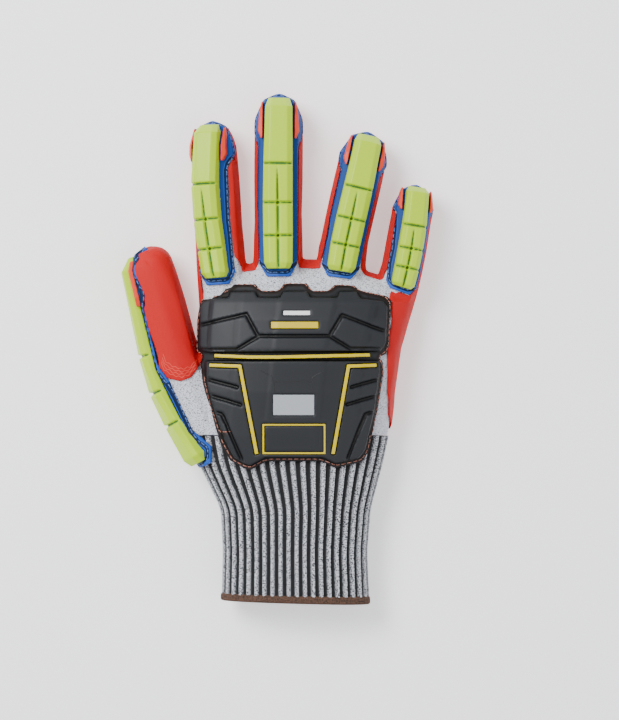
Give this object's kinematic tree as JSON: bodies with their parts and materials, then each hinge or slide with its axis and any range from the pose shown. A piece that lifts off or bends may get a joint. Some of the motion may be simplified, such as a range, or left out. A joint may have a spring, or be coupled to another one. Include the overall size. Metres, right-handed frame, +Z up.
{
  "type": "impact glove",
  "caption": "Right-hand impact work glove: knitted hand and ribbed cuff, dipped palm, rubber guards over the back of the hand and along each finger and the thumb.",
  "frame": {"origin": "centre of the bounding box at the surface the glove lies on", "axes": "+X from the thumb side to the little finger side, +Y from the cuff towards the fingertips, +Z up out of the back of the hand"},
  "size_m": [0.1554, 0.2524, 0.0374],
  "materials": {
    "knit_yarn": "matte melange knit",
    "rib_yarn": "matte ribbed knit",
    "hem_thread": "matte overlock thread",
    "nitrile_dip": "satin dipped nitrile",
    "tpr_black": "matte moulded rubber",
    "tpr_blue": "satin moulded rubber",
    "tpr_lime": "satin moulded rubber",
    "tpr_orange": "satin moulded rubber",
    "tpr_yellow": "satin moulded rubber",
    "print_grey": "matte print",
    "print_white": "matte print"
  },
  "bodies": {
    "root": {"knit_hand": "knit_yarn", "palm_coating": "nitrile_dip", "rib_cuff": "rib_yarn", "hem_binding": "hem_thread", "back_guard": "tpr_black", "flex_line": "tpr_yellow", "thumb_side_line": "tpr_yellow", "little_side_line": "tpr_yellow", "badge_frame": "tpr_yellow", "rating_plate": "print_grey", "wide_bar": "tpr_yellow", "short_bar": "print_white", "index_base": "tpr_blue", "index_pad": "tpr_lime", "index_wing_thumb_side": "tpr_orange", "index_wing_little_side": "tpr_orange", "middle_base": "tpr_blue", "middle_pad": "tpr_lime", "middle_wing_thumb_side": "tpr_orange", "middle_wing_little_side": "tpr_orange", "ring_base": "tpr_blue", "ring_pad": "tpr_lime", "ring_wing_thumb_side": "tpr_orange", "ring_wing_little_side": "tpr_orange", "little_base": "tpr_blue", "little_pad": "tpr_lime", "little_wing_thumb_side": "tpr_orange", "little_wing_little_side": "tpr_orange", "thumb_base": "tpr_blue", "thumb_pad": "tpr_lime", "thumb_wing_thumb_side": "tpr_orange", "thumb_wing_little_side": "tpr_orange"}
  },
  "joints": []
}
